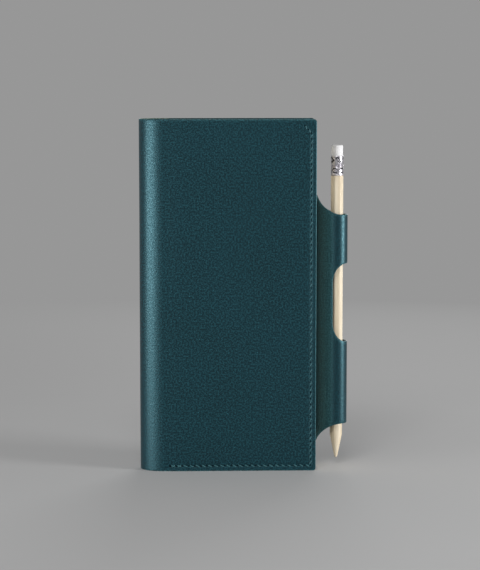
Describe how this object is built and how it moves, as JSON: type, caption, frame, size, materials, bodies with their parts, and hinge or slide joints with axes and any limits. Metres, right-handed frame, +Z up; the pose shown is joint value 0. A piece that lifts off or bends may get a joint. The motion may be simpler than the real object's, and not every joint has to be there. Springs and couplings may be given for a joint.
{
  "type": "pocket notebook",
  "caption": "Tall leather pocket notebook: stitched wrap cover with inner pockets, a paper refill that opens flat, and a pencil held in a folded wing with a finger window.",
  "frame": {"origin": "centre of the closed notebook's footprint, on the surface it stands on", "axes": "+Z up along the spine, +X from the spine to the fore edge and the pencil, +Y from the front cover to the back cover"},
  "size_m": [0.1248, 0.024, 0.21],
  "materials": {
    "teal_leather": "waxed full-grain leather, satin, with fine pores and paler worn edges",
    "waxed_thread": "twisted waxed thread, matt",
    "notebook_paper": "uncoated ivory paper, matt",
    "kraft_card": "brown kraft card, matt",
    "lining_cloth": "woven bookbinder's lining cloth, matt",
    "lime_wood": "sanded pale wood with fine straight grain, satin",
    "pale_lead": "pale pencil lead, matt",
    "ferrule_metal": "thin rolled aluminium, bright",
    "white_rubber": "white pencil eraser, matt"
  },
  "bodies": {
    "back": {"back_cover": "teal_leather", "back_pocket": "teal_leather", "pencil_holder": "teal_leather", "back_seam_thread": "waxed_thread", "refill_back_card": "kraft_card", "refill_hinge_strip": "lining_cloth", "spine_lining_back": "lining_cloth", "paper_section_5": "notebook_paper", "paper_section_6": "notebook_paper", "paper_section_7": "notebook_paper", "paper_section_8": "notebook_paper"},
    "spine_3": {"spine_strip_3": "teal_leather"},
    "spine_2": {"spine_strip_2": "teal_leather"},
    "spine_1": {"spine_strip_1": "teal_leather"},
    "front": {"front_cover": "teal_leather", "front_pocket": "teal_leather", "front_seam_thread": "waxed_thread"},
    "front_pages": {"paper_section_1": "notebook_paper", "paper_section_2": "notebook_paper", "paper_section_3": "notebook_paper", "paper_section_4": "notebook_paper", "refill_front_card": "kraft_card", "spine_lining_front": "lining_cloth"},
    "leaf_1": {"turning_leaf_1": "notebook_paper"},
    "leaf_2": {"turning_leaf_2": "notebook_paper"},
    "leaf_3": {"turning_leaf_3": "notebook_paper"},
    "pencil": {"pencil_barrel": "lime_wood", "pencil_lead": "pale_lead", "ferrule": "ferrule_metal", "eraser": "white_rubber"}
  },
  "joints": [
    {"name": "pages_open", "type": "hinge", "parent": "back", "child": "front_pages", "pos_m": [-0.05486, -0.0001, 0.105], "axis": [0, 0, -1], "range_deg": [0, 180]},
    {"name": "fold_by_back_cover", "type": "hinge", "parent": "back", "child": "spine_3", "pos_m": [-0.05341, 0.0111, 0.105], "axis": [0, 0, -1], "range_deg": [0, 39.42]},
    {"name": "fold_in_spine_back", "type": "hinge", "parent": "spine_3", "child": "spine_2", "pos_m": [-0.06127, 0.00464, 0.105], "axis": [0, 0, -1], "range_deg": [0, 50.58]},
    {"name": "fold_in_spine_front", "type": "hinge", "parent": "spine_2", "child": "spine_1", "pos_m": [-0.06127, -0.00464, 0.105], "axis": [0, 0, -1], "range_deg": [0, 50.58]},
    {"name": "fold_by_front_cover", "type": "hinge", "parent": "spine_1", "child": "front", "pos_m": [-0.05341, -0.0111, 0.105], "axis": [0, 0, -1], "range_deg": [0, 39.42]},
    {"name": "leaf_1_turn", "type": "hinge", "parent": "back", "child": "leaf_1", "pos_m": [-0.05486, -0.0001, 0.105], "axis": [0, 0, -1], "range_deg": [0, 135]},
    {"name": "leaf_2_turn", "type": "hinge", "parent": "back", "child": "leaf_2", "pos_m": [-0.05486, -0.0001, 0.105], "axis": [0, 0, -1], "range_deg": [0, 90]},
    {"name": "leaf_3_turn", "type": "hinge", "parent": "back", "child": "leaf_3", "pos_m": [-0.05486, -0.0001, 0.105], "axis": [0, 0, -1], "range_deg": [0, 45]},
    {"name": "pencil_slide", "type": "slide", "parent": "back", "child": "pencil", "axis": [0, 0, 1], "range_m": [0, 0.15]}
  ],
  "couplings": [
    {"joint": "fold_by_back_cover", "follows": "pages_open", "ratio": 0.219},
    {"joint": "fold_in_spine_back", "follows": "pages_open", "ratio": 0.281},
    {"joint": "fold_in_spine_front", "follows": "pages_open", "ratio": 0.281},
    {"joint": "fold_by_front_cover", "follows": "pages_open", "ratio": 0.219},
    {"joint": "leaf_1_turn", "follows": "pages_open", "ratio": 0.75},
    {"joint": "leaf_2_turn", "follows": "pages_open", "ratio": 0.5},
    {"joint": "leaf_3_turn", "follows": "pages_open", "ratio": 0.25}
  ]
}
